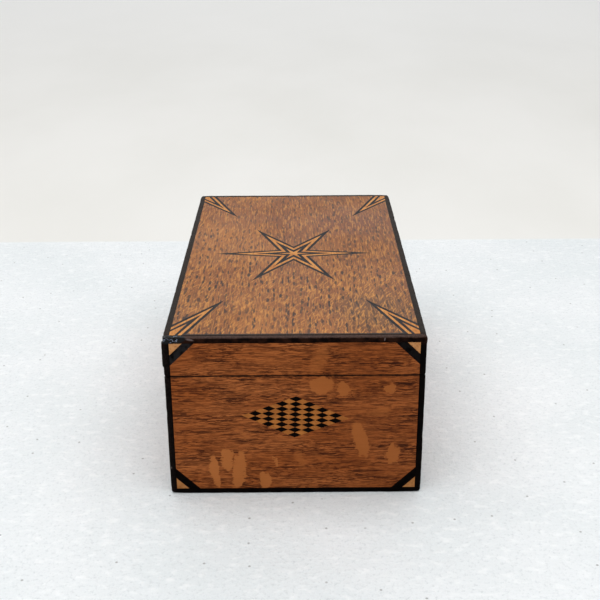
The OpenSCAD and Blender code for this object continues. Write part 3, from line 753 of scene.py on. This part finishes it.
def strip(name, low, high, place, bevels, step):
    """A strip of banding from low to high along its length.

    place(u, v, s) gives the square block's point at section point (u, v) and length s. bevels are
    the depths by which the outer faces are cut back at the two ends.
    """
    outline = section()
    mesh = bmesh.new()
    rings = []
    for s in stations(low, high, step):
        cut = max(0.0, bevels[0] - (s - low) / BEVEL_SLOPE, bevels[1] - (high - s) / BEVEL_SLOPE)
        ring = [worn_point(place(u, v, s), cut, min(u, v) < 0.01) for u, v in outline]
        rings.append([mesh.verts.new(point * MM) for point in ring])
    join_rings(mesh, rings)
    return smooth_piece(name, mesh)


def mitred(inner, u, s):
    """Length along a mitred strip: beyond the inner corner it spreads with u."""
    if abs(s) <= inner:
        return s
    return math.copysign(inner + u * (abs(s) - inner) / BAND, s)


def end_strip(name, side, up, step):
    """Strip along a short end, at the top (up = 1) or the base (up = -1)."""
    def place(u, v, s):
        z = TOP - BAND + v if up > 0 else BAND - v
        return Vector((mitred(IN_X, u, s), side * (IN_Y + u), z))
    return strip(name, -HALF_X, HALF_X, place, (MITRE_BEVEL, MITRE_BEVEL), step)


def side_strip(name, side, up, step):
    """Strip along a long side, at the top (up = 1) or the base (up = -1)."""
    def place(u, v, s):
        z = TOP - BAND + v if up > 0 else BAND - v
        return Vector((side * (IN_X + u), mitred(IN_Y, u, s), z))
    return strip(name, -HALF_Y, HALF_Y, place, (MITRE_BEVEL, MITRE_BEVEL), step)


def corner_strip(name, side_x, side_y, low, high, bevels):
    """Upright strip at a corner. Its bevel at the seam leaves room for the lid to turn."""
    def place(u, v, s):
        return Vector((side_x * (IN_X + u), side_y * (IN_Y + v), s))
    return strip(name, low, high, place, bevels, FINE_STEP)


def push_out_replaced_strip(piece, low):
    """The replaced strip stands proud of the front above a slanted lower end."""
    slant = 2 * PROUD
    for vertex in piece.data.vertices:
        x, y, z = vertex.co / MM
        if x < -HALF_X + 0.6 and y > -HALF_Y + 0.5:
            vertex.co.x -= PROUD * MM * smooth(z, low, low + slant)


def flat_strips():
    """Strips around the base and the top of the lid, each with its body and the node it replaces."""
    ends = (end_strip, (("near", -1), ("far", 1)))
    long_sides = (side_strip, (("front", -1), ("back", 1)))
    for make, sides in (ends, long_sides):
        for side_name, side in sides:
            base = make(f"base_banding_{side_name}", side, -1, BASE_STEP)
            yield base, "body", f"base_band_{side_name}"
            top = make(f"lid_top_banding_{side_name}", side, 1, FINE_STEP)
            yield top, "lid", f"lid_top_band_{side_name}"


def upright_strips():
    """Strips at the corners of the body and the lid, each with its body and the node it replaces."""
    for end_name, side_y in (("near", -1), ("far", 1)):
        for side_name, side_x in (("front", -1), ("back", 1)):
            corner = f"{end_name}_{side_name}"
            body_strip = corner_strip(f"body_corner_banding_{corner}", side_x, side_y,
                                      BAND, SEAM, (JOINT_BEVEL, SEAM_BEVEL))
            yield body_strip, "body", f"body_corner_band_{corner}"
            lid_strip = corner_strip(f"lid_corner_banding_{corner}", side_x, side_y,
                                     LID_Z, TOP - BAND, (SEAM_BEVEL, JOINT_BEVEL))
            if corner == "near_front":
                push_out_replaced_strip(lid_strip, SEAM + PROUD_END)
            yield lid_strip, "lid", f"lid_corner_band_{corner}"


def build_banding():
    black = banding_black()
    for piece, body, node in [*flat_strips(), *upright_strips()]:
        piece.data.materials.append(black)
        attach(piece, body)
        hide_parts(node)


# ---- floor, light and camera ----

# The rough floor gives way to the smooth backdrop between these distances behind the box's middle
ROUGH_END = 294.0
BACKDROP_START = 300.0
FLOOR_HALF_M = 4.0


def rough_floor(g, grit, strokes):
    """Cool white plaster with grit, pale brush strokes and a few dark specks."""
    wide = g.mottle((110, 90, 1.0), detail=4.0)
    colour = g.mix(g.between(wide, 0.3, 0.7), srgb(226, 231, 233), srgb(234, 237, 239))
    colour = g.mix(g.between(grit, 0.50, 0.72, 0.0, 0.6), colour, srgb(200, 205, 208))
    colour = g.mix(g.between(strokes, 0.50, 0.72, 0.0, 0.5), colour, srgb(246, 248, 249))
    cells = g.cells(g.units((24, 24, 1.0)))
    speck = g.between(cells.outputs["Distance"], 0.04, 0.02, 0.0, 0.55)
    few = g.between(g.split(cells.outputs["Color"])[0], 0.62, 0.7)
    return g.mix(g.times(speck, few), colour, srgb(120, 116, 112))


def backdrop(g):
    """Smooth warm white, painted lighter with distance as a painted gradient of light."""
    haze = g.mottle((260, 500, 1.0), detail=5.0)
    colour = g.mix(g.between(haze, 0.3, 0.7), srgb(231, 230, 227), srgb(225, 224, 220))
    # Painted light: the backdrop brightens to near white far behind the box.
    return g.mix(g.between(g.y, 500.0, 2600.0), colour, srgb(250, 250, 249))


def floor_material():
    """Rough white painted plaster, with a smoother warm white beyond it."""
    g = Graph("floor_white", Specular_IOR_Level=0.1, Roughness=0.8)
    grit = g.mottle((2.2, 2.2, 1.0), detail=3.0, roughness=0.75)
    strokes = g.mottle((8, 5, 1.0), detail=4.0)
    beyond = g.between(g.y, ROUGH_END, BACKDROP_START)
    g.colour(g.mix(beyond, rough_floor(g, grit, strokes), backdrop(g)))
    rough = g.between(g.y, BACKDROP_START, ROUGH_END - 4.0)
    g.bump(g.times(rough, g.math("ADD", grit, strokes)), 2.0, 0.5)
    return g.material


def build_floor():
    half = FLOOR_HALF_M
    mesh = bpy.data.meshes.new("floor")
    corners = [(-half, -half, 0.0), (half, -half, 0.0), (half, half, 0.0), (-half, half, 0.0)]
    mesh.from_pydata(corners, [], [(0, 1, 2, 3)])
    mesh.materials.append(floor_material())
    floor = bpy.data.objects.new("floor", mesh)
    bpy.context.scene.collection.objects.link(floor)


def build_world():
    """Soft studio dome, brighter behind the box."""
    world = bpy.data.worlds.new("studio")
    bpy.context.scene.world = world
    world.use_nodes = True
    tree = world.node_tree
    background = tree.nodes["Background"]
    coords = tree.nodes.new("ShaderNodeTexCoord")
    split = tree.nodes.new("ShaderNodeSeparateXYZ")
    tree.links.new(coords.outputs["Generated"], split.inputs[0])
    ramp = tree.nodes.new("ShaderNodeMapRange")
    ramp.interpolation_type = "SMOOTHSTEP"
    ramp.inputs["From Min"].default_value = 0.5
    ramp.inputs["From Max"].default_value = 0.9
    ramp.inputs["To Min"].default_value = 0.36
    ramp.inputs["To Max"].default_value = 0.72
    tree.links.new(split.outputs["Y"], ramp.inputs["Value"])
    tree.links.new(ramp.outputs["Result"], background.inputs["Strength"])
    background.inputs["Color"].default_value = (0.985, 0.995, 1.0, 1.0)


def overhead_light(name, place, size, power):
    """Rectangular soft light that points straight down."""
    light = bpy.data.lights.new(name, "AREA")
    light.shape = "RECTANGLE"
    light.size, light.size_y = size
    light.energy = power
    light.color = (1.0, 0.997, 0.99)
    lamp = bpy.data.objects.new(name, light)
    lamp.location = place
    bpy.context.scene.collection.objects.link(lamp)


def build_lights():
    overhead_light("softbox", (-0.1, -0.55, 1.8), (2.6, 2.2), 37.5)
    overhead_light("ceiling", (0.0, 2.2, 2.2), (4.4, 2.0), 27.0)


def build_camera():
    """The photograph's view: from the near end, a little above the lid."""
    data = bpy.data.cameras.new("camera")
    data.sensor_width = 36.0
    data.lens = 58.66
    data.shift_y = -0.1
    place = (0.0021, -0.6275, 0.3606)
    pitch = math.radians(21.28)
    yaw = math.radians(0.14)
    roll = math.radians(-0.31)
    turn = Matrix.Rotation(-yaw, 4, "Z") @ Matrix.Rotation(math.pi / 2 - pitch, 4, "X")
    turn = turn @ Matrix.Rotation(roll, 4, "Z")
    camera = bpy.data.objects.new("camera", data)
    camera.matrix_world = Matrix.Translation(place) @ turn
    bpy.context.scene.collection.objects.link(camera)
    bpy.context.scene.camera = camera


bpy.context.scene.view_settings.view_transform = "Standard"
build_camera()
build_world()
build_lights()
build_floor()
dress_wood()
dress_inlay()
dress_metal()
build_banding()
